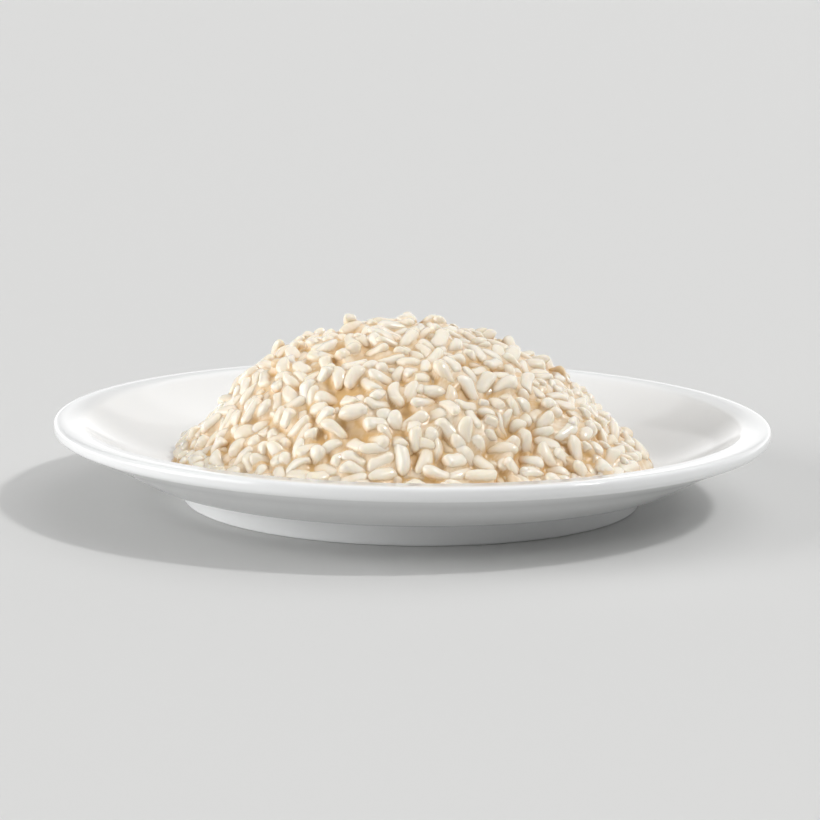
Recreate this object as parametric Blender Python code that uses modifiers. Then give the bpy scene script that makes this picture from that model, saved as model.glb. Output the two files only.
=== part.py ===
# Parmesan risotto: a heap of creamy rice on its white rimmed plate.
# Units are metres, +Z is up, and the origin is on the table under the middle of the plate.
import math
import random

import bmesh
import bpy
from mathutils import Vector

GAP = 0.0003                 # clearance between the rice and the glaze it lies on

# Plate: glazed porcelain, turned
PLATE_RADIUS = 0.120
RIM_HEIGHT = 0.0275          # top of the lip above the table
RIM_BAND_WIDTH = 0.0083      # the nearly flat band round the edge
RIM_BAND_RISE = 0.0002
LIP_THICKNESS = 0.0040
LIP_ROUNDING = 0.0018
WELL_HEIGHT = 0.0100         # top of the well's floor above the table
WELL_FLAT_RADIUS = 0.060     # where the floor starts to curve up
WALL_POWER = 2.4             # how late the wall turns upwards
FLANK_RADIUS = 0.1066        # where the outside bends a little
FLANK_HEIGHT = 0.0177
FLANK_ROUNDING = 0.0040
SHOULDER_RADIUS = 0.0914     # where the outside turns in under the well
SHOULDER_HEIGHT = 0.0094
SHOULDER_ROUNDING = 0.0022
FOOT_RADIUS = 0.0769         # outside of the foot ring at the table
FOOT_TOP_RADIUS = 0.0784
FOOT_TOP_HEIGHT = 0.0079
FOOT_INNER_RADIUS = 0.0720
FOOT_ROUNDING = 0.0010
RECESS_RADIUS = 0.0690       # the shallow hollow inside the foot ring
RECESS_HEIGHT = 0.0045
PLATE_STEPS = 72
WELL_STATIONS = 9            # points along the curve from the flat floor to the rim band
ROUNDING_STEPS = 2

# Risotto: one heap, out to the tops of its grains
HEAP_RADIUS = 0.0808
HEAP_TOP = 0.0584            # top of the dome above the table, before its mounds
HEAP_LEAN = -0.0063          # how far the dome's top stands off the middle, along X
DOME_POWER = 2.3             # higher gives a broader top
DOME_FALL = 1.13             # over 1 gives hollow flanks and a thin edge
HEAP_SEGMENTS = 84
HEAP_TOP_RINGS = 28
HEAP_UNDER_RINGS = 6
RING_SPREAD = 0.9            # under 1 puts more of the rings near the edge
EDGE_LOBES = (               # waves round the edge: number, depth, turn
    (2, 0.0008, 0.4),
    (3, 0.0006, 2.1),
    (5, 0.0008, 4.4),
    (9, 0.0006, 1.3),
)
MOUNDS = (                   # spoonfuls that stand out of the dome: x, y, height, reach
    (-0.044, 0.009, 0.0026, 0.012),
    (-0.003, 0.009, 0.0018, 0.014),
    (0.009, 0.006, 0.0014, 0.014),
    (0.034, 0.004, 0.0014, 0.010),
    (0.047, 0.006, 0.0022, 0.012),
    (0.004, -0.045, 0.0015, 0.022),
    (-0.046, -0.038, 0.0014, 0.020),
    (0.044, -0.034, 0.0014, 0.022),
    (0.012, 0.050, 0.0018, 0.024),
    (-0.042, 0.042, 0.0014, 0.022),
    (0.044, 0.040, 0.0012, 0.020),
)
LUMP_COUNT = 260             # knots and dips, a little larger than a grain
LUMP_REACH = 0.0080
LUMP_RISE = 0.0023           # of the tallest knot
LUMP_DIP = 0.0012            # of the deepest dip
LUMP_SEED = 417
EDGE_FADE = 0.08             # outer share of the radius where mounds and lumps die out


def remove_all_objects():
    for item in list(bpy.data.objects):
        bpy.data.objects.remove(item, do_unlink=True)


def make_material(name, colour, roughness):
    material = bpy.data.materials.new(name)
    material.use_nodes = True
    shader = material.node_tree.nodes["Principled BSDF"]
    shader.inputs["Base Color"].default_value = (*colour, 1.0)
    shader.inputs["Roughness"].default_value = roughness
    shader.inputs["Metallic"].default_value = 0.0
    material.diffuse_color = (*colour, 1.0)
    return material


def link_object(name, mesh, material, collection):
    mesh.materials.append(material)
    thing = bpy.data.objects.new(name, mesh)
    collection.objects.link(thing)
    return thing


def well_height(radius):
    """Height of the glaze inside the plate, from its middle out to the rim band."""
    crease_radius = PLATE_RADIUS - RIM_BAND_WIDTH
    crease_height = RIM_HEIGHT - RIM_BAND_RISE
    share = (radius - WELL_FLAT_RADIUS) / (crease_radius - WELL_FLAT_RADIUS)
    share = min(max(share, 0.0), 1.0)
    return WELL_HEIGHT + (crease_height - WELL_HEIGHT) * share ** WALL_POWER


def rounded_corner(before, corner, after, cut):
    """Points that round a corner off, starting and ending at the given cut from it."""
    start = corner + (before - corner).normalized() * cut
    end = corner + (after - corner).normalized() * cut
    points = []
    for step in range(ROUNDING_STEPS + 1):
        t = step / ROUNDING_STEPS
        points.append(start * (1 - t) ** 2 + corner * 2 * t * (1 - t) + end * t ** 2)
    return points


def plate_profile():
    """Outline of the plate from the top of its middle, over the lip, to the underside of its middle."""
    crease_radius = PLATE_RADIUS - RIM_BAND_WIDTH
    points = [Vector((0.0, well_height(0.0)))]
    for station in range(WELL_STATIONS + 1):
        share = station / WELL_STATIONS
        radius = WELL_FLAT_RADIUS + (crease_radius - WELL_FLAT_RADIUS) * share
        points.append(Vector((radius, well_height(radius))))

    corners = [                                      # radius, height, rounding
        (PLATE_RADIUS, RIM_HEIGHT, LIP_ROUNDING),
        (PLATE_RADIUS, RIM_HEIGHT - LIP_THICKNESS, LIP_ROUNDING),
        (FLANK_RADIUS, FLANK_HEIGHT, FLANK_ROUNDING),
        (SHOULDER_RADIUS, SHOULDER_HEIGHT, SHOULDER_ROUNDING),
        (FOOT_TOP_RADIUS, FOOT_TOP_HEIGHT, FOOT_ROUNDING),
        (FOOT_RADIUS, 0.0, FOOT_ROUNDING),
        (FOOT_INNER_RADIUS, 0.0, FOOT_ROUNDING),
        (RECESS_RADIUS, RECESS_HEIGHT, FOOT_ROUNDING),
    ]
    middle_underneath = Vector((0.0, RECESS_HEIGHT))
    for index, (radius, height, cut) in enumerate(corners):
        before = points[-1] if index == 0 else Vector(corners[index - 1][:2])
        last = index == len(corners) - 1
        after = middle_underneath if last else Vector(corners[index + 1][:2])
        points += rounded_corner(before, Vector((radius, height)), after, cut)
    points.append(middle_underneath)
    return points


def make_plate(material, collection):
    points = plate_profile()
    mesh = bpy.data.meshes.new("plate")
    vertices = [(point.x, 0.0, point.y) for point in points]
    edges = [(index, index + 1) for index in range(len(points) - 1)]
    mesh.from_pydata(vertices, edges, [])
    plate = link_object("plate", mesh, material, collection)

    turn = plate.modifiers.new("turned on its axis", "SCREW")
    turn.axis = "Z"
    turn.angle = math.tau
    turn.steps = PLATE_STEPS
    turn.render_steps = PLATE_STEPS
    turn.use_merge_vertices = True
    turn.merge_threshold = 0.00005
    turn.use_smooth_shade = True
    return plate


def edge_radius(angle):
    radius = HEAP_RADIUS
    for lobes, depth, turn in EDGE_LOBES:
        radius += depth * math.sin(lobes * angle + turn)
    return radius


def bump(distance, reach):
    """A soft hump: 1 in its middle, 0 from its reach outwards."""
    if distance >= reach:
        return 0.0
    return 0.5 + 0.5 * math.cos(math.pi * distance / reach)


def scatter_lumps():
    """Knots of grains and dips between them, all over the heap: x, y, height, reach."""
    draw = random.Random(LUMP_SEED)
    lumps = []
    for _ in range(LUMP_COUNT):
        radius = HEAP_RADIUS * math.sqrt(draw.random())
        angle = math.tau * draw.random()
        height = draw.uniform(-LUMP_DIP, LUMP_RISE)
        reach = LUMP_REACH * draw.uniform(0.8, 1.2)
        lumps.append((radius * math.cos(angle), radius * math.sin(angle), height, reach))
    return lumps


def heap_point(share, angle, humps):
    """Place on the heap's surface, at a share of the way out to its edge: a leaning dome with humps."""
    edge = edge_radius(angle)
    x = edge * share * math.cos(angle) + HEAP_LEAN * (1 - share)
    y = edge * share * math.sin(angle)
    foot = well_height(edge) + GAP
    height = foot + (HEAP_TOP - foot) * (1 - share ** DOME_POWER) ** DOME_FALL
    fade = min((1 - share) / EDGE_FADE, 1.0)
    for hump_x, hump_y, rise, reach in humps:
        height += fade * rise * bump(math.hypot(x - hump_x, y - hump_y), reach)
    return x, y, height


def make_risotto(material, collection):
    """A ball whose upper rings become the heap's surface and whose lower rings lie on the glaze."""
    rings = HEAP_TOP_RINGS + HEAP_UNDER_RINGS
    humps = list(MOUNDS) + scatter_lumps()
    ball = bmesh.new()
    bmesh.ops.create_uvsphere(ball, u_segments=HEAP_SEGMENTS, v_segments=rings, radius=1.0)
    for vertex in ball.verts:
        angle = math.atan2(vertex.co.y, vertex.co.x)
        ring = round(math.acos(max(-1.0, min(1.0, vertex.co.z))) / math.pi * rings)
        if ring < HEAP_TOP_RINGS:
            vertex.co = heap_point((ring / HEAP_TOP_RINGS) ** RING_SPREAD, angle, humps)
        else:
            radius = edge_radius(angle) * (rings - ring) / HEAP_UNDER_RINGS
            vertex.co = (radius * math.cos(angle), radius * math.sin(angle), well_height(radius) + GAP)
    mesh = bpy.data.meshes.new("risotto")
    ball.to_mesh(mesh)
    ball.free()
    mesh.shade_smooth()
    return link_object("risotto", mesh, material, collection)


def main():
    remove_all_objects()
    collection = bpy.data.collections.new("parmesan risotto")
    bpy.context.scene.collection.children.link(collection)
    porcelain = make_material("white glazed porcelain", (0.86, 0.86, 0.85), 0.12)
    creamy_rice = make_material("creamy risotto rice", (0.82, 0.71, 0.56), 0.35)
    make_plate(porcelain, collection)
    make_risotto(creamy_rice, collection)


main()
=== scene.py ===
import math
import random

import bmesh
import bpy
import numpy as np
from mathutils import Matrix, Vector
from mathutils.bvhtree import BVHTree
from mathutils.kdtree import KDTree


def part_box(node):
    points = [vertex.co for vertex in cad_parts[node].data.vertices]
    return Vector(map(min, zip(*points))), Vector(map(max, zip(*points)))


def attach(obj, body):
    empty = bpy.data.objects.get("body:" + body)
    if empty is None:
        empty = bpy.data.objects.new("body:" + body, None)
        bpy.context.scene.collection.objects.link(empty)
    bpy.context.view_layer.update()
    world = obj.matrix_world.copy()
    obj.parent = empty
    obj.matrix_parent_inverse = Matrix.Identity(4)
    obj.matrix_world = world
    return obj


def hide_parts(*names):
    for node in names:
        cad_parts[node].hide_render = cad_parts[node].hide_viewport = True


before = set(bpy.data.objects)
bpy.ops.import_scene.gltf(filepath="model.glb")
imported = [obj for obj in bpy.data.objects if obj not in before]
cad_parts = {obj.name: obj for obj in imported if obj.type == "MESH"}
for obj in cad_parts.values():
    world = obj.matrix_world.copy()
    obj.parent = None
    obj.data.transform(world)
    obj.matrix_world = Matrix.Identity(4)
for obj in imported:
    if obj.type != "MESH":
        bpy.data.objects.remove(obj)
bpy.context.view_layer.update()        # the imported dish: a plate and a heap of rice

mm = 0.001               # lengths are in metres, and in millimetres where a name ends in Mm

# Camera: low over the table, long lens, a touch of roll
viewing = {
    "pitch": 10.05,                     # degrees above the table
    "roll": 0.79,                       # degrees, the right side sits lower
    "distance": 0.960,                  # from what it looks at
    "lookAt": (-0.0009, 0.0, 0.0297),
    "lensMm": 125.2,
    "sensorMm": 36,
    "farthest": 100,
}


def link(thing):
    bpy.context.scene.collection.objects.link(thing)
    return thing


def addCamera():
    data = bpy.data.cameras.new("camera")
    data.sensor_width = viewing["sensorMm"]
    data.lens = viewing["lensMm"]
    data.clip_end = viewing["farthest"]
    camera = link(bpy.data.objects.new("camera", data))
    pitch = Matrix.Rotation(math.radians(90 - viewing["pitch"]), 4, "X")
    roll = Matrix.Rotation(math.radians(viewing["roll"]), 4, "Z")
    back = Matrix.Translation((0, 0, viewing["distance"]))
    camera.matrix_world = Matrix.Translation(viewing["lookAt"]) @ pitch @ roll @ back
    bpy.context.scene.camera = camera


addCamera()
print("camera placed")


# Materials: small helpers, then one function per finish
mixFirst, mixSecond, mixResult = 6, 7, 2        # a Mix node's sockets when it mixes colours


def toLinear(hexColour):
    channels = [int(hexColour[i:i + 2], 16) / 255 for i in (1, 3, 5)]
    linear = [c / 12.92 if c <= 0.04045 else ((c + 0.055) / 1.055) ** 2.4 for c in channels]
    return (*linear, 1.0)


def addNode(tree, kind, inputs=None, **settings):
    # inputs: a socket's value, or (node, output) to link from
    node = tree.nodes.new(kind)
    for name, value in settings.items():
        setattr(node, name, value)
    for name, value in (inputs or {}).items():
        if isinstance(value, tuple) and isinstance(value[0], bpy.types.Node):
            tree.links.new(value[0].outputs[value[1]], node.inputs[name])
        else:
            node.inputs[name].default_value = value
    return node


def newMaterial(name):
    material = bpy.data.materials.new(name)
    material.use_nodes = True
    tree = material.node_tree
    return material, tree, tree.nodes["Principled BSDF"]


def setShader(shader, values):
    for name, value in values.items():
        shader.inputs[name].default_value = value


def perSize(sizeMm):
    return 1 / (sizeMm * mm)            # a texture scale that gives features of about this size


porcelain = {
    "colour": "#F2F3F3",
    "roughness": 0.10,
    "ior": 1.52,
    "waveSizeMm": 14.0,                 # slow waves where the glaze ran
    "waveDepthMm": 0.012,
}

rice = {
    "pale": "#FCF3E4",
    "warm": "#F7E7CD",
    "deep": "#DFB982",                  # painted shade down in the crevices; stained grains also go towards this colour
    "stainedShare": 0.03,               # grains that took up more butter
    "stain": 0.6,                       # at most how far those go from pale towards deep
    "roughness": 0.34,
    "ior": 1.45,
    "scatter": 0.3,
    "scatterMm": 0.8,
    "scatterReach": (1.0, 0.8, 0.45),   # red light goes further in than blue
    "film": 0.8,                        # wet shine of the cream on each grain
    "filmRoughness": 0.09,
    "filmIor": 1.40,
    "mottleMm": 2.2,
    "skinMm": 0.55,                     # fine wrinkles of the swollen skin
    "skinDepthMm": 0.03,
}

cream = {
    "pale": "#FAEDD9",
    # deep: painted shade, for the cream down in the crevices
    "deep": "#DDB67C",
    "roughness": 0.30,
    "ior": 1.45,
    "scatter": 0.3,
    "scatterMm": 0.8,
    "scatterReach": (1.0, 0.8, 0.45),
    "film": 0.3,                        # a little butter on top
    "filmRoughness": 0.16,
    "filmIor": 1.36,
    "curdMm": 1.1,                      # melted cheese that hasn't quite run smooth
    "curdDepthMm": 0.05,
}


def glazedPorcelain():
    # hard-paste porcelain, dipped and fired: an even cool white under a clear mirror-like skin
    material, tree, shader = newMaterial("glazed porcelain")
    setShader(shader, {
        "Base Color": toLinear(porcelain["colour"]),
        "Roughness": porcelain["roughness"],
        "IOR": porcelain["ior"],
    })
    coords = addNode(tree, "ShaderNodeTexCoord")
    waves = addNode(tree, "ShaderNodeTexNoise", {
        "Vector": (coords, "Object"),
        "Scale": perSize(porcelain["waveSizeMm"]),
        "Detail": 2.0,
    })
    bump = addNode(tree, "ShaderNodeBump", {
        "Height": (waves, "Fac"),
        "Distance": porcelain["waveDepthMm"] * mm,
    })
    tree.links.new(bump.outputs["Normal"], shader.inputs["Normal"])
    return material


def setMoistShader(shader, food):
    # cooked and moist: light goes a little way in, and a wet film lies on top
    setShader(shader, {
        "Roughness": food["roughness"],
        "IOR": food["ior"],
        "Subsurface Weight": food["scatter"],
        "Subsurface Radius": food["scatterReach"],
        "Subsurface Scale": food["scatterMm"] * mm,
        "Coat Weight": food["film"],
        "Coat Roughness": food["filmRoughness"],
        "Coat IOR": food["filmIor"],
    })


def cookedRice():
    # swollen starch with a film of cheese cream: milky, no two grains quite one colour
    material, tree, shader = newMaterial("cooked risotto rice")
    setMoistShader(shader, rice)
    coords = addNode(tree, "ShaderNodeTexCoord")
    tone = addNode(tree, "ShaderNodeAttribute", attribute_name="tone")
    depth = addNode(tree, "ShaderNodeAttribute", attribute_name="depth")
    mottle = addNode(tree, "ShaderNodeTexNoise", {
        "Vector": (coords, "Object"),
        "Scale": perSize(rice["mottleMm"]),
        "Detail": 2.0,
    })
    blend = addNode(tree, "ShaderNodeMath", {
        0: (tone, "Fac"),
        1: (mottle, "Fac"),
    }, operation="MULTIPLY")
    colour = addNode(tree, "ShaderNodeMix", {
        "Factor": (blend, "Value"),
        mixFirst: toLinear(rice["pale"]),
        mixSecond: toLinear(rice["warm"]),
    }, data_type="RGBA")
    stain = addNode(tree, "ShaderNodeMath", {       # what a grain's tone has over 1
        0: (tone, "Fac"),
        1: 1.0,
    }, operation="SUBTRACT", use_clamp=True)
    amount = addNode(tree, "ShaderNodeMath", {
        0: (depth, "Fac"),
        1: (stain, "Value"),
    }, operation="ADD", use_clamp=True)
    # painted shade: deep colour in the crevices, from the depth attribute, plus the stained
    # grains' own colour
    shadedAndStained = addNode(tree, "ShaderNodeMix", {
        "Factor": (amount, "Value"),
        mixFirst: (colour, mixResult),
        mixSecond: toLinear(rice["deep"]),
    }, data_type="RGBA")
    tree.links.new(shadedAndStained.outputs[mixResult], shader.inputs["Base Color"])
    skin = addNode(tree, "ShaderNodeTexNoise", {
        "Vector": (coords, "Object"),
        "Scale": perSize(rice["skinMm"]),
        "Detail": 3.0,
    })
    bump = addNode(tree, "ShaderNodeBump", {
        "Height": (skin, "Fac"),
        "Distance": rice["skinDepthMm"] * mm,
    })
    tree.links.new(bump.outputs["Normal"], shader.inputs["Normal"])
    return material


def cheeseCream():
    # stock, butter and melted parmesan, stirred in: thick, warm ivory, soft shine
    material, tree, shader = newMaterial("parmesan cream")
    setMoistShader(shader, cream)
    coords = addNode(tree, "ShaderNodeTexCoord")
    depth = addNode(tree, "ShaderNodeAttribute", attribute_name="depth")
    curd = addNode(tree, "ShaderNodeTexNoise", {
        "Vector": (coords, "Object"),
        "Scale": perSize(cream["curdMm"]),
        "Detail": 3.0,
    })
    # painted shade: deeper colour in the crevices, from the depth attribute
    colour = addNode(tree, "ShaderNodeMix", {
        "Factor": (depth, "Fac"),
        mixFirst: toLinear(cream["pale"]),
        mixSecond: toLinear(cream["deep"]),
    }, data_type="RGBA")
    tree.links.new(colour.outputs[mixResult], shader.inputs["Base Color"])
    bump = addNode(tree, "ShaderNodeBump", {
        "Height": (curd, "Fac"),
        "Distance": cream["curdDepthMm"] * mm,
    })
    tree.links.new(bump.outputs["Normal"], shader.inputs["Normal"])
    return material


# Plate: one outline from the middle of the well, over the lip, to the middle underneath
plate = {
    "radius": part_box("plate")[1].x,
    "rimHeight": 0.0275,
    "rimBand": 0.0083,                  # width of the nearly flat band round the edge
    "rimRise": 0.0002,
    "lip": 0.0040,
    "lipRounding": 0.0018,
    "wellHeight": 0.0100,
    "wellFlat": 0.060,                  # radius where the floor starts to curve up
    "wallPower": 2.4,                   # over 1 turns the wall up late
    "flank": (0.1066, 0.0177, 0.0040),  # radius, height and rounding, as in the rows below
    "shoulder": (0.0914, 0.0094, 0.0022),
    "footTop": (0.0784, 0.0079, 0.0010),
    "footOuter": (0.0769, 0.0, 0.0010),
    "footInner": (0.0720, 0.0, 0.0010),
    "recess": (0.0690, 0.0045, 0.0010),
    "steps": 288,                       # facets round the plate
    "wellPoints": 26,
    "roundingSteps": 7,
    "mergeMm": 0.02,
}


def glazeHeight(radius):
    # inside of the plate: flat floor, then a wall that turns up late
    crease = plate["radius"] - plate["rimBand"]
    rise = plate["rimHeight"] - plate["rimRise"] - plate["wellHeight"]
    share = np.clip((radius - plate["wellFlat"]) / (crease - plate["wellFlat"]), 0, 1)
    return plate["wellHeight"] + rise * share ** plate["wallPower"]


def roundCorner(before, corner, after, cut):
    start = corner + (before - corner).normalized() * cut
    end = corner + (after - corner).normalized() * cut
    steps = plate["roundingSteps"]
    shares = [step / steps for step in range(steps + 1)]
    return [start * (1 - t) ** 2 + corner * 2 * t * (1 - t) + end * t ** 2 for t in shares]


def plateOutline():
    crease = plate["radius"] - plate["rimBand"]
    radii = np.linspace(plate["wellFlat"], crease, plate["wellPoints"])
    points = [Vector((0.0, plate["wellHeight"]))]
    points += [Vector((radius, float(glazeHeight(radius)))) for radius in radii]
    corners = [
        (plate["radius"], plate["rimHeight"], plate["lipRounding"]),
        (plate["radius"], plate["rimHeight"] - plate["lip"], plate["lipRounding"]),
        plate["flank"], plate["shoulder"], plate["footTop"],
        plate["footOuter"], plate["footInner"], plate["recess"],
    ]
    underneath = Vector((0.0, plate["recess"][1]))
    stops = [points[-1]] + [Vector(corner[:2]) for corner in corners] + [underneath]
    for index, corner in enumerate(corners):
        points += roundCorner(stops[index], stops[index + 1], stops[index + 2], corner[2])
    return points + [underneath]


def addPlate():
    points = plateOutline()
    lines = [(i, i + 1) for i in range(len(points) - 1)]
    mesh = bpy.data.meshes.new("porcelainPlate")
    mesh.from_pydata([(p.x, 0, p.y) for p in points], lines, [])
    mesh.materials.append(glazedPorcelain())
    piece = link(bpy.data.objects.new("porcelainPlate", mesh))
    turn = piece.modifiers.new("turned", "SCREW")
    turn.axis = "Z"
    turn.steps = turn.render_steps = plate["steps"]
    turn.use_merge_vertices = True
    turn.merge_threshold = plate["mergeMm"] * mm
    turn.use_smooth_shade = True
    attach(piece, "root")
    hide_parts("plate")


addPlate()
print("plate turned")


# Heap: a bed of cells below the surface of the solid, which the rice is laid on
heap = {
    "bedCells": 150,                    # cells from the middle to the edge of the bed
    "shoreCells": 20,                   # cells of glaze beyond the edge that grains may lie on
    "packing": 0.2,                     # how much narrower the cells are at the edge
    "edgeShare": 0.9,                   # of the solid's radius: its edge lies beyond that
    "edgeMm": 0.5,                      # and no higher over the glaze than this
    "solidShare": 0.998,                # of the outline: inside it the solid sets the height
    "dropFrom": 0.2,                    # a height over everything
    "coverMm": 6.8,                     # rice and cream over the bed
    "sink": 1.25,                       # times the cover, how deep the bed is dug
    "topSmoothing": 8,
    "bedSmoothing": 6,
    "normalSmoothing": 10,
    "unevenMm": 0.8,                    # how much the finished surface may rise and fall
    "unevenSmoothing": 24,              # more makes wider swells of it
    "evenBelowMm": 4,                   # where the cover is thinner it gets more even
    "seed": 5,
}


def ringAndAngle(u, v):
    # a square grid folded onto rings, so cells stay nearly the same size all over the heap
    wide = np.abs(u) > np.abs(v)
    safeU = np.where(u == 0, 1, u)
    safeV = np.where(v == 0, 1, v)
    ring = np.where(wide, u, v)
    angle = np.where(wide, math.pi / 4 * v / safeU, math.pi / 2 - math.pi / 4 * u / safeV)
    return ring, angle


def solidEdge(solid):
    # the solid's outline: the points where its surface meets the glaze, by angle
    co = np.array([vertex.co for vertex in solid.data.vertices])
    radius = np.hypot(co[:, 0], co[:, 1])
    angle = np.arctan2(co[:, 1], co[:, 0])
    low = co[:, 2] < glazeHeight(radius) + heap["edgeMm"] * mm
    outer = (radius > heap["edgeShare"] * radius.max()) & low
    order = np.argsort(angle[outer])
    return radius[outer][order], angle[outer][order]


def blur(values, times):
    for _ in range(times):
        padded = np.pad(values, [(1, 1), (1, 1)] + [(0, 0)] * (values.ndim - 2), mode="edge")
        rows = padded[:-2] + padded[2:] + 2 * padded[1:-1]
        values = (rows[:, :-2] + rows[:, 2:] + 2 * rows[:, 1:-1]) / 16
    return values


def widen(values):
    padded = np.pad(values, 1, mode="edge")
    return np.maximum.reduce([
        padded[1:-1, 1:-1], padded[:-2, 1:-1], padded[2:, 1:-1],
        padded[1:-1, :-2], padded[1:-1, 2:],
    ])


def closeGaps(values, cells):
    # fills what is narrower than twice that many cells, up to the lower of its banks
    for _ in range(cells):
        values = widen(values)
    for _ in range(cells):
        values = -widen(-values)
    return values


def unitNormals(normals):
    return normals / np.linalg.norm(normals, axis=-1, keepdims=True)


def layBed():
    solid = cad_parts["risotto"]
    surface = BVHTree.FromObject(solid, bpy.context.evaluated_depsgraph_get())
    cells = heap["bedCells"]
    reach = cells + heap["shoreCells"]
    steps = np.arange(-reach, reach + 1) / cells
    u, v = np.meshgrid(steps, steps, indexing="ij")
    ring, angle = ringAndAngle(u, v)
    direction = np.where(ring < 0, angle + math.pi, angle)
    ring = np.abs(ring)
    edge, at = solidEdge(solid)
    outline = np.interp((direction + math.pi) % math.tau - math.pi, at, edge, period=math.tau)
    packing = heap["packing"]
    inside = ring * (1 + packing - packing * ring)
    outside = 1 + (1 - packing) * (ring - 1)
    radius = outline * np.where(ring < 1, inside, outside)
    x = radius * np.cos(direction)
    y = radius * np.sin(direction)
    glaze = glazeHeight(np.hypot(x, y))
    top = glaze.copy()
    down = Vector((0, 0, -1))
    for i, j in zip(*np.nonzero(ring < heap["solidShare"])):
        hit = surface.ray_cast(Vector((x[i, j], y[i, j], heap["dropFrom"])), down)[0]
        if hit:
            top[i, j] = max(hit.z, glaze[i, j])
    lowered = blur(top, heap["topSmoothing"]) - heap["coverMm"] * mm * heap["sink"]
    ground = np.maximum(blur(np.maximum(lowered, glaze), heap["bedSmoothing"]), glaze)
    points = np.stack([x, y, ground], -1)
    normals = unitNormals(np.cross(np.gradient(points, axis=0), np.gradient(points, axis=1)))
    normals = unitNormals(blur(normals, heap["normalSmoothing"]))
    cover = np.maximum(top - ground, 0) * normals[..., 2]
    return {"points": points, "normals": normals, "cover": cover, "glaze": glaze, "ring": ring}


# Rice: kinds of grain, and how often each is met
kinds = {
    "wholeGrains": {
        "share": 0.38, "lengthMm": (9.5, 11.4), "widthMm": (4.5, 5.4),
        "bend": (0.0, 0.25), "blunt": 0.0,
    },
    "curvedGrains": {
        "share": 0.28, "lengthMm": (9.5, 11.4), "widthMm": (4.3, 5.0),
        "bend": (0.35, 0.7), "blunt": 0.0,
    },
    "shortGrains": {
        "share": 0.24, "lengthMm": (8.0, 9.5), "widthMm": (4.6, 5.4),
        "bend": (0.0, 0.3), "blunt": 0.15,
    },
    "brokenGrains": {
        "share": 0.10, "lengthMm": (6.6, 8.2), "widthMm": (4.3, 5.1),
        "bend": (0.0, 0.3), "blunt": 0.4,                       # of the half length, at most
    },
}

# What every grain draws for itself, and what all grains share
swelling = {
    "thickness": (0.80, 0.94),          # of its width
    "breakAt": (0.4, 1.0),              # how much of its kind's blunt part is missing
    "ends": (2.7, 5.0),                 # higher is blunter
    "taper": (-0.22, 0.22),
    "corners": (2.2, 3.6),              # 2 is round, more is squarer
    "slant": (-0.45, 0.45),             # how obliquely the ends stand
    "flats": (1, 3),                    # sides that neighbours pressed flat
    "flatTurn": (-0.7, 0.7),            # how far such a side faces along the grain
    "flatOut": (0.68, 0.90),            # how far out it lies
    "flatPress": 0.7,                   # share of what stands past it that is pressed in
    "stump": 0.25,                      # what is left of the length past a break
    "recentre": 0.4,                    # share of the missing part that a grain moves back
    "bow": 0.9,                         # sideways bend, in half widths
    "bowMiddle": 0.35,                  # keeps a bent grain centred
    "phases": 6,                        # spread of where the waves below start
    "waist": 0.07, "waistTurns": 4.2,   # thick and thin along the grain
    "ridge": 0.04, "ridges": 3,         # ridges round it
    "twist": 0.03, "twists": 5, "twistTurns": 1.5,
    "segments": 16,
    "rings": 14,
}

# How a grain finds its place and comes to rest there
resting = {
    "search": 60,                       # cells looked at for the deepest hollow
    "margin": 5,                        # cells kept free past a grain's window
    "tries": 10,                        # ways tried of laying a grain in the hollow
    "shift": 3,                         # cells it may lie to either side
    "tilt": 0.38,                       # spread of the tilt
    "edge": 0.94,                       # share of the heap's radius that the rice keeps to
    "spillCost": 0.12,                  # how hard it is for a grain to lie over that edge
    "window": 13,                       # cells either side of a grain that it may touch
    "lane": 0.6,                        # the ground's slope is felt over this share of its width
    "laneStart": 0.3,                   # and from this share of its half length to its end
    "laneGap": 1.2,                     # from the lane's front to its back, in half lengths
    "follow": 0.6,                      # share of that slope that it takes on
    "steepest": 0.8,
    "endSlack": 0.1,                    # past a break, in half lengths
    "clear": 0.8,                       # share of its underside that keeps clear of the others
    "fullerMm": 1.2,                    # what is taken off a hollow where no grain fits
    "showMm": 0.4,                      # a grain shows where no other lies further over it,
    "showCells": 3,                     # on more cells than this
}

# The rice goes in twice: first the grains that carry, then those that lie lower in the gaps
courses = [
    {
        "grains": 4000,                 # most that are offered
        "enoughMm": 1.0,                # hollows shallower than this are left
        "backMm": 0.0,                  # level of a grain's back over the finished surface
        "proudMm": 0.8,                 # how much higher it may stay
        "pressMm": 1.5,                 # how far a grain may be pressed into what it touches
    },
    {"grains": 2000, "enoughMm": 1.4, "backMm": -0.6, "proudMm": 0.5, "pressMm": 3.4},
]

# Grains that stick out of the heap: where, which way they point, how far they stand out
perched = [
    {
        "atMm": (-29.0, 13.0), "points": (0.10, -0.05, 1.0), "outMm": 2.7,
        "sizeMm": (8.4, 3.9, 3.6), "bend": 0.1, "tone": 0.1,
    },
    {
        "atMm": (-31.5, 12.0), "points": (-1.0, 0.2, 0.35), "outMm": 2.2,
        "sizeMm": (9.4, 4.6, 4.2), "bend": 0.1, "tone": 0.4,
    },
    {
        "atMm": (44.5, 8.0), "points": (0.8, -0.3, 0.25), "outMm": 2.4,
        "sizeMm": (8.6, 4.8, 4.4), "bend": 0.1, "tone": 1.7,    # well stained
    },
]


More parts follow.
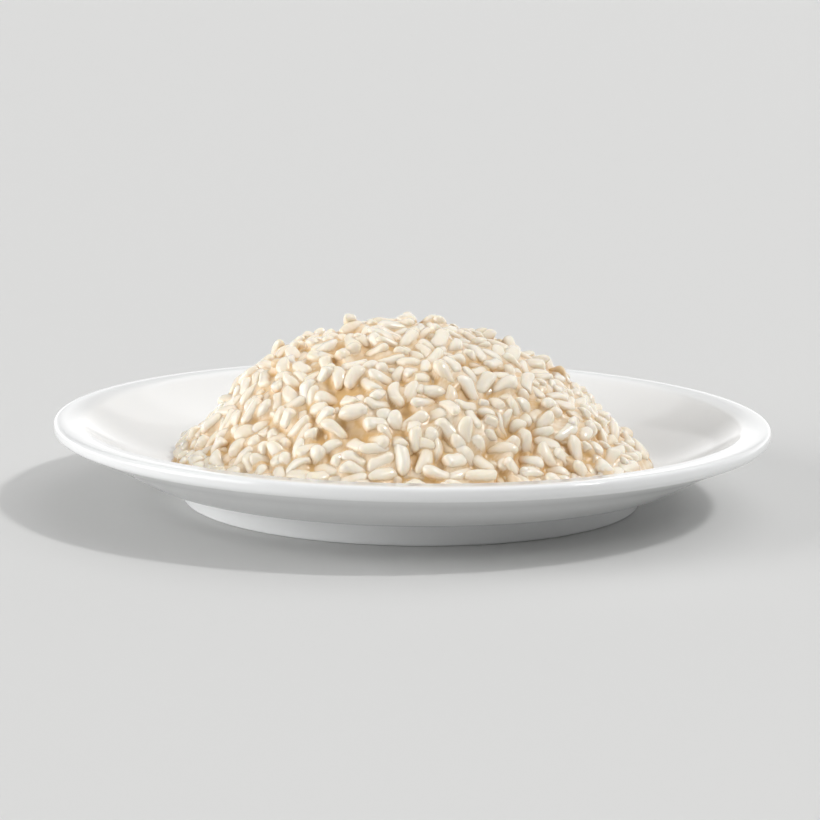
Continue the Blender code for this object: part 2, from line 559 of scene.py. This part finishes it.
def swellGrain(draw):
    # one grain's own size and shape, from its kind
    names = list(kinds)
    kind = draw.choices(names, [kinds[name]["share"] for name in names])[0]
    facts = kinds[kind]
    length = draw.uniform(*facts["lengthMm"])
    width = draw.uniform(*facts["widthMm"])
    thickness = width * draw.uniform(*swelling["thickness"])
    return {
        "kind": kind,
        "half": np.array([length, width, thickness]) * 0.5 * mm,
        "bend": draw.uniform(*facts["bend"]) * draw.choice((-1, 1)),
        "cut": 1 - facts["blunt"] * draw.uniform(*swelling["breakAt"]),
        "ends": draw.uniform(*swelling["ends"]),
        "taper": draw.uniform(*swelling["taper"]),
        "corners": draw.uniform(*swelling["corners"]),
        "slant": draw.uniform(*swelling["slant"]),
        "flats": [pressedFlat(draw) for _ in range(draw.randint(*swelling["flats"]))],
    }


def pressedFlat(draw):
    # the direction that a flat side faces, and how far out it lies
    lengthwise = draw.uniform(*swelling["flatTurn"])
    direction = np.array([lengthwise, draw.gauss(0, 1), draw.gauss(0, 1)])
    return direction / np.linalg.norm(direction), draw.uniform(*swelling["flatOut"])


def girthAt(u, grain):
    # half thickness along the grain, as a share of its fullest
    return (1 - np.clip(np.abs(u), 0, 1) ** grain["ends"]) ** 0.5 * (1 + grain["taper"] * u)


def sideShift(u, grain):
    bow = grain["bend"] * grain["half"][1] * swelling["bow"]
    return bow * (swelling["bowMiddle"] - u ** 2)


def groundSlope(level, a, b, grain):
    # how much the ground rises along the grain, from behind its middle to in front of it
    halfA, halfB, _ = grain["half"]
    lane = np.abs(b) < halfB * resting["lane"]
    near, far = resting["laneStart"] * halfA, halfA
    front = level[lane & (a > near) & (a < far)]
    behind = level[lane & (a < -near) & (a > -far)]
    if not (len(front) and len(behind)):
        return 0.0
    rise = front.mean() - behind.mean()
    return resting["follow"] * rise / (resting["laneGap"] * halfA)


def restingPlace(bed, height, grain, i, j, turn, lean, press):
    # lets one grain down along the bed's normal until it touches what is already there
    window = resting["window"]
    rows = slice(i - window, i + window + 1)
    columns = slice(j - window, j + window + 1)
    normal = bed["normals"][i, j]
    start = np.cross(normal, (0.0, 1.0, 0.0))
    start /= np.linalg.norm(start)
    side = np.cross(normal, start)
    axis = start * math.cos(turn) + side * math.sin(turn)
    across = np.cross(normal, axis)
    away = bed["points"][rows, columns] - bed["points"][i, j]
    a = away @ axis
    b = away @ across
    ground = away @ normal
    level = ground + height[rows, columns]
    steepest = resting["steepest"]
    slope = max(-steepest, min(steepest, groundSlope(level, a, b, grain) + lean))
    halfA, halfB, halfC = grain["half"]
    shortened = (1 - grain["cut"]) * swelling["recentre"]
    u = a * math.sqrt(1 + slope ** 2) / halfA + shortened
    girth = girthAt(u, grain)
    s = np.abs(b - sideShift(u, grain)) / halfB
    corners = grain["corners"]
    inside = (np.abs(u) < 1) & (u < grain["cut"] + resting["endSlack"]) & (s < girth)
    bulge = halfC * np.clip(girth ** corners - s ** corners, 0, None) ** (1 / corners)
    touching = (level - slope * a + bulge)[inside]
    rest = max(np.quantile(touching, resting["clear"]), touching.max() - press)
    roof = slope * a + bulge - ground
    return {
        "rows": rows, "columns": columns, "inside": inside, "roof": roof, "rest": rest,
        "normal": normal, "axis": axis, "slope": slope,
    }


def finishedSurface(bed, seed):
    # the cover that is wanted over each cell, a little uneven
    cover = bed["cover"]
    swells = np.random.default_rng(seed).normal(size=cover.shape)
    swells = blur(swells, heap["unevenSmoothing"])
    fading = np.clip(cover / (heap["evenBelowMm"] * mm), 0, 1)
    return cover + swells / swells.std() * heap["unevenMm"] * mm * fading


def pourRice(bed):
    draw = random.Random(heap["seed"])
    want = finishedSurface(bed, heap["seed"])
    first = resting["window"] + resting["margin"]
    last = 2 * (heap["bedCells"] + heap["shoreCells"]) - first
    shift = resting["shift"]
    height = np.zeros(want.shape)
    laid = []
    for course in courses:
        press = course["pressMm"] * mm
        hopeless = np.zeros(want.shape)         # rises where no grain would fit
        for _ in range(course["grains"]):
            spots = [(draw.randint(first, last), draw.randint(first, last))
                     for _ in range(resting["search"])]
            i, j = max(spots, key=lambda spot: want[spot] - height[spot] - hopeless[spot])
            if want[i, j] - height[i, j] - hopeless[i, j] < course["enoughMm"] * mm:
                break
            grain = swellGrain(draw)
            best = None
            for _ in range(resting["tries"]):
                row, column = i + draw.randint(-shift, shift), j + draw.randint(-shift, shift)
                turn, lean = draw.uniform(0, math.pi), draw.gauss(0, resting["tilt"])
                place = restingPlace(bed, height, grain, row, column, turn, lean, press)
                reached = bed["ring"][place["rows"], place["columns"]][place["inside"]].max()
                spill = max(reached - resting["edge"], 0) * resting["spillCost"]
                over = place["rest"] - want[row, column] + spill
                if best is None or over < best[0]:
                    best = (over, row, column, place)
            over, row, column, place = best
            proud = over + grain["half"][2] - course["backMm"] * mm
            sink = min(max(proud, 0), press)
            if proud - sink > course["proudMm"] * mm:
                hopeless[i - 1:i + 2, j - 1:j + 2] += resting["fullerMm"] * mm
                continue
            laid.append(layGrain(bed, height, grain, row, column, place, place["rest"] - sink))
        print("course of rice:", len(laid), "grains so far")
    laid += [perchGrain(bed, height, facts, draw) for facts in perched]
    return [grain for grain in laid if shows(grain, height)]


def layGrain(bed, height, grain, i, j, place, rest):
    rows, columns = place["rows"], place["columns"]
    roof = np.where(place["inside"], place["roof"] + rest, -1)
    height[rows, columns] = np.maximum(height[rows, columns], roof)
    normal = place["normal"]
    pitch = math.atan(place["slope"])
    axis = place["axis"] * math.cos(pitch) + normal * math.sin(pitch)
    up = normal * math.cos(pitch) - place["axis"] * math.sin(pitch)
    grain["centre"] = bed["points"][i, j] + normal * rest
    grain["turn"] = np.stack([axis, np.cross(up, axis), up], -1)
    grain["covers"] = (rows, columns, roof)
    return grain


def perchGrain(bed, height, facts, draw):
    away = np.hypot(*[bed["points"][..., k] - facts["atMm"][k] * mm for k in (0, 1)])
    i, j = np.unravel_index(np.argmin(away), away.shape)
    axis = np.array(facts["points"]) / np.linalg.norm(facts["points"])
    across = np.cross(axis, (0.0, 1.0, 0.0))
    across /= np.linalg.norm(across)
    up = np.cross(axis, across)
    grain = swellGrain(draw)
    half = np.array(facts["sizeMm"]) * 0.5 * mm
    top = bed["points"][i, j] + bed["normals"][i, j] * height[i, j]
    thick = np.abs(np.array([axis, across, up])[:, 2]) @ half
    grain.update({
        "half": half, "tone": facts["tone"], "bend": facts["bend"],
        "centre": top + (0, 0, facts["outMm"] * mm - thick),
        "turn": np.stack([axis, across, up], -1),
    })
    return grain


def shows(grain, height):
    if "covers" not in grain:               # a perched grain
        return True
    rows, columns, roof = grain["covers"]
    uncovered = roof > height[rows, columns] - resting["showMm"] * mm
    return np.count_nonzero(uncovered) > resting["showCells"]


def unitBall(segments, rings):
    ball = bmesh.new()
    bmesh.ops.create_uvsphere(ball, u_segments=segments, v_segments=rings, radius=1.0)
    bmesh.ops.triangulate(ball, faces=ball.faces)
    co = np.array([vertex.co for vertex in ball.verts])
    faces = np.array([[vertex.index for vertex in face.verts] for face in ball.faces])
    ball.free()
    return co[:, [2, 0, 1]], faces      # poles at the ends of the grain


def unevenSwelling(u, around, draw):
    # a grain's girth here over its plain girth
    facts = swelling
    starts = [draw.uniform(0, facts["phases"]) for _ in range(3)]
    waist = facts["waist"] * np.sin(facts["waistTurns"] * u + starts[0])
    ridge = facts["ridge"] * np.cos(facts["ridges"] * around + starts[1])
    twisted = facts["twists"] * around + facts["twistTurns"] * u
    return 1 + waist + ridge + facts["twist"] * np.cos(twisted + starts[2])


def shapeGrain(ball, grain, draw):
    # plump and tapered, a little bent, with soft flats and uneven swelling
    u, y, z = ball.T
    around = np.arctan2(z, y)
    corners, cut = grain["corners"], grain["cut"]
    square = np.abs(np.cos(around)) ** corners + np.abs(np.sin(around)) ** corners
    girth = girthAt(u, grain) * square ** (-1 / corners) * unevenSwelling(u, around, draw)
    length = np.where(u > cut, cut + (u - cut) * swelling["stump"], u)
    length = length - (1 - cut) * swelling["recentre"]
    shaped = np.stack([length, girth * np.cos(around), girth * np.sin(around)], -1)
    for direction, limit in grain["flats"]:
        beyond = np.clip(shaped @ direction - limit, 0, None)
        shaped -= swelling["flatPress"] * beyond[:, None] * direction
    halfA, halfB, _ = grain["half"]
    shaped[:, 0] += grain["slant"] * shaped[:, 1] * u ** 2 * halfB / halfA
    shaped *= grain["half"]
    shaped[:, 1] += sideShift(u, grain)
    return shaped


def joinGrains(name, grains, ball, faces, material, draw):
    # all the grains of one kind as one piece, each with its own tone
    count = len(ball)
    co = np.empty((len(grains) * count, 3))
    tones = np.empty(len(grains) * count)
    for index, grain in enumerate(grains):
        own = slice(index * count, (index + 1) * count)
        shaped = shapeGrain(ball, grain, draw)
        co[own] = shaped @ grain["turn"].T + grain["centre"]
        stained = draw.random() < rice["stainedShare"]
        tone = draw.random() + stained * rice["stain"]
        tones[own] = grain.get("tone", tone)
    offsets = (np.arange(len(grains)) * count)[:, None, None]
    triangles = (faces[None] + offsets).reshape(-1, 3)
    mesh = bpy.data.meshes.new(name)
    mesh.from_pydata(co, [], triangles)
    mesh.attributes.new("tone", "FLOAT", "POINT").data.foreach_set("value", tones)
    mesh.shade_smooth()
    mesh.materials.append(material)
    piece = link(bpy.data.objects.new(name, mesh))
    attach(piece, "root")
    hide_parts("risotto")
    print(name, len(grains), "grains,", len(triangles), "triangles")
    return piece


# Cream: fills the bed's hollows between the grains
filling = {
    "ceilingMm": 16,                    # over the bed, and over every grain
    "bridgeCells": 2,                   # gaps up to twice as wide are bridged
    "softenTimes": 4,
    "belowMm": 0.6,                     # how far the cream lies under the grains' backs
    "pitMm": 2.7,                       # and under the heap's overall surface, at the most
    "edgeShare": 0.03,                  # of the heap's radius, over which the cream thins out
    "edgePower": 0.5,                   # under 1 rounds its edge
    "clearMm": 0.1,                     # kept over the glaze
    "underClearMm": 0.05,               # and underneath
    "underRings": 6,
    "underMiddle": 4,                   # radius of the face inside them, in rings
}

# Crevices: painted shade, so both the rice and the cream get deeper in colour there
crevices = {
    "shadeCells": 6,                    # crevices up to twice as wide count as deep
    "shadeMm": 3.2,                     # how far down the colour is deepest
    "shadePower": 1.5,                  # over 1 keeps the shallow ones pale
    "creaseMm": 1.5,                    # how near a neighbour must stand to tint a point
    "creaseShade": 0.55,                # painted shade where neighbours stand on all sides
    "liftMm": 0.08,                     # looked for from this far over the surface
}


def riceHeight(points, normals, pieces):
    # how high the real grains stand over each point of the bed
    graph = bpy.context.evaluated_depsgraph_get()
    trees = [BVHTree.FromObject(piece, graph) for piece in pieces]
    ceiling = filling["ceilingMm"] * mm
    height = np.zeros(points.shape[:2])
    for i, j in np.ndindex(*height.shape):
        down = Vector(-normals[i, j])
        start = Vector(points[i, j]) - down * ceiling
        hits = [tree.ray_cast(start, down, ceiling)[3] for tree in trees]
        height[i, j] = ceiling - min((hit for hit in hits if hit), default=ceiling)
    return height


def crowding(vertex, tree):
    # share of the directions out of a point in which something stands close by, for painted
    # shade in creases
    up = vertex.normal
    side = up.orthogonal().normalized()
    other = up.cross(side)
    start = vertex.co + up * crevices["liftMm"] * mm
    ways = (up, up + side, up - side, up + other, up - other)
    reach = crevices["creaseMm"] * mm
    near = [tree.ray_cast(start, way.normalized(), reach)[0] for way in ways]
    return sum(hit is not None for hit in near) / len(ways)


def addPaintedShade(mesh, skin, normals, finder, tree):
    # painted shade: 0 in the open on top, 1 deep below the heap's overall surface or hemmed in
    # by neighbours
    shade = np.empty(len(mesh.vertices))
    deepest = crevices["shadeMm"] * mm
    for index, vertex in enumerate(mesh.vertices):
        near = finder.find(vertex.co)[1]
        depth = (skin[near] - np.array(vertex.co)) @ normals[near] / deepest
        shade[index] = min(max(depth, 0), 1) ** crevices["shadePower"]
        if depth < 1:
            shade[index] += crevices["creaseShade"] * crowding(vertex, tree)
    attribute = mesh.attributes.new("depth", "FLOAT", "POINT")
    attribute.data.foreach_set("value", np.clip(shade, 0, 1))


def joinedTree(pieces):
    # one search tree of everything in the heap
    corners, triangles, count = [], [], 0
    for piece in pieces:
        mesh = piece.data
        mesh.calc_loop_triangles()
        co = np.empty(len(mesh.vertices) * 3)
        mesh.vertices.foreach_get("co", co)
        indices = np.empty(len(mesh.loop_triangles) * 3, dtype=int)
        mesh.loop_triangles.foreach_get("vertices", indices)
        corners += co.reshape(-1, 3).tolist()
        triangles += (indices.reshape(-1, 3) + count).tolist()
        count += len(mesh.vertices)
    return BVHTree.FromPolygons(corners, triangles, all_triangles=True)


def shadeCrevices(pieces, skin, normals):
    # skin: the heap's overall surface, with its normals
    finder = KDTree(len(skin))
    for index, point in enumerate(skin):
        finder.insert(point, index)
    finder.balance()
    tree = joinedTree(pieces)
    for piece in pieces:
        addPaintedShade(piece.data, skin, normals, finder, tree)


def closeUnderneath(body):
    # rings from the edge inwards, along the glaze, then one face in the middle
    edges = [edge for edge in body.edges if edge.is_boundary]
    rings = filling["underRings"]
    for ring in range(rings):
        grown = bmesh.ops.extrude_edge_only(body, edges=edges)["geom"]
        grown = [item for item in grown if isinstance(item, bmesh.types.BMEdge)]
        edges = [edge for edge in grown if edge.is_boundary]
        for vertex in {vertex for edge in edges for vertex in edge.verts}:
            vertex.co *= 1 - 1 / (rings + filling["underMiddle"] - ring)
            vertex.co.z = glazeHeight(vertex.co.xy.length) + filling["underClearMm"] * mm
    bmesh.ops.holes_fill(body, edges=edges)
    bmesh.ops.recalc_face_normals(body, faces=body.faces)


def addCream(bed, ricePieces, material):
    cells, shore = heap["bedCells"], heap["shoreCells"]
    block = slice(shore, shore + 2 * cells + 1)         # the bed without its shore
    ground, normals = bed["points"][block, block], bed["normals"][block, block]
    glaze, ring = bed["glaze"][block, block], bed["ring"][block, block]
    height = riceHeight(ground, normals, ricePieces)
    shadeCells = crevices["shadeCells"]
    overall = blur(closeGaps(height, shadeCells), shadeCells)
    level = blur(closeGaps(height, filling["bridgeCells"]), filling["softenTimes"])
    level = np.maximum(level - filling["belowMm"] * mm, overall - filling["pitMm"] * mm)
    thinning = np.clip((1 - ring) / filling["edgeShare"], 0, 1) ** filling["edgePower"]
    points = ground + normals * (np.maximum(level, 0) * thinning)[..., None]
    points[..., 2] = np.maximum(points[..., 2], glaze + filling["clearMm"] * mm)
    body = bmesh.new()
    bmesh.ops.create_grid(body, x_segments=2 * cells, y_segments=2 * cells, size=cells)
    for vertex in body.verts:
        vertex.co = points[round(vertex.co.x) + cells, round(vertex.co.y) + cells]
    closeUnderneath(body)
    mesh = bpy.data.meshes.new("parmesanCream")
    body.to_mesh(mesh)
    body.free()
    mesh.shade_smooth()
    mesh.materials.append(material)
    piece = link(bpy.data.objects.new("parmesanCream", mesh))
    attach(piece, "root")
    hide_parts("risotto")
    print("cream filled in,", len(mesh.polygons), "faces")
    skin = ground + normals * overall[..., None]
    shadeCrevices([*ricePieces, piece], skin.reshape(-1, 3), normals.reshape(-1, 3))
    print("crevices shaded")


def addRisotto():
    bed = layBed()
    print("bed laid")
    laid = pourRice(bed)
    print("rice poured,", len(laid), "grains show")
    shaping = random.Random(heap["seed"] + 1)
    ball, faces = unitBall(swelling["segments"], swelling["rings"])
    material = cookedRice()
    pieces = []
    for kind in kinds:
        grains = [grain for grain in laid if grain["kind"] == kind]
        pieces.append(joinGrains(kind, grains, ball, faces, material, shaping))
    addCream(bed, pieces, cheeseCream())


addRisotto()


# Stage: a plain pale table and soft light
studio = {
    "floor": "#D6D6D5",
    "floorRoughness": 0.9,
    "floorRadius": 20,
    "floorSegments": 64,
    "walls": "#FFFFFF",
    "wallHeight": 0.3,                  # sine of the angle up to which the pale walls reach
    "backWall": 1.4,                    # their brightness
    "leftWall": 2.8,
}

# Lamps: where each shines from, its strength and how wide it is, in degrees
suns = {
    "lowLeft": {"spot": (-0.90, -0.25, 0.22), "strength": 2.15, "wide": 50},
    "highRight": {"spot": (0.75, 0.15, 0.64), "strength": 0.8, "wide": 110},
    "backRight": {"spot": (0.50, 0.80, 0.50), "strength": 0.6, "wide": 80},
    "overhead": {"spot": (0.001, 0.0, 1.0), "strength": 1.02, "wide": 110},
    "lowRight": {"spot": (0.90, -0.25, 0.22), "strength": 0.12, "wide": 36},
    "spark": {"spot": (0.60, -0.10, 0.80), "strength": 0.95, "wide": 6},    # wet highlights
}


def addFloor():
    sheet = bmesh.new()
    bmesh.ops.create_circle(sheet, cap_ends=True, radius=studio["floorRadius"],
                            segments=studio["floorSegments"])
    mesh = bpy.data.meshes.new("table")
    sheet.to_mesh(mesh)
    sheet.free()
    material, _, shader = newMaterial("matt table")
    setShader(shader, {
        "Base Color": toLinear(studio["floor"]),
        "Roughness": studio["floorRoughness"],
    })
    mesh.materials.append(material)
    floor = link(bpy.data.objects.new("table", mesh))


def addWalls():
    # a glow all round that is brightest low at the back and at the left, and fades upwards
    world = bpy.data.worlds.new("studio")
    world.use_nodes = True
    tree = world.node_tree
    coords = addNode(tree, "ShaderNodeTexCoord")
    split = addNode(tree, "ShaderNodeSeparateXYZ", {"Vector": (coords, "Generated")})
    band = addNode(tree, "ShaderNodeMapRange", {
        "Value": (split, "Z"),
        "From Min": 0.0,
        "From Max": studio["wallHeight"],
        "To Min": 1.0,
        "To Max": 0.0,
    })
    back = addNode(tree, "ShaderNodeMapRange", {
        "Value": (split, "Y"),
        "To Max": studio["backWall"],
    })
    left = addNode(tree, "ShaderNodeMapRange", {
        "Value": (split, "X"),
        "From Max": -1.0,
        "To Max": studio["leftWall"],
    })
    walls = addNode(tree, "ShaderNodeMath", {
        0: (back, "Result"),
        1: (left, "Result"),
    }, operation="ADD")
    glow = addNode(tree, "ShaderNodeMath", {
        0: (walls, "Value"),
        1: (band, "Result"),
    }, operation="MULTIPLY")
    background = tree.nodes["Background"]
    background.inputs["Color"].default_value = toLinear(studio["walls"])
    tree.links.new(glow.outputs["Value"], background.inputs["Strength"])
    bpy.context.scene.world = world


def addSuns():
    for name, sun in suns.items():
        data = bpy.data.lights.new(name, "SUN")
        data.energy = sun["strength"]
        data.angle = math.radians(sun["wide"])
        lamp = link(bpy.data.objects.new(name, data))
        lamp.rotation_euler = Vector(sun["spot"]).to_track_quat("Z", "Y").to_euler()


addFloor()
addWalls()
addSuns()
bpy.context.scene.view_settings.view_transform = "Standard"
print("stage set")
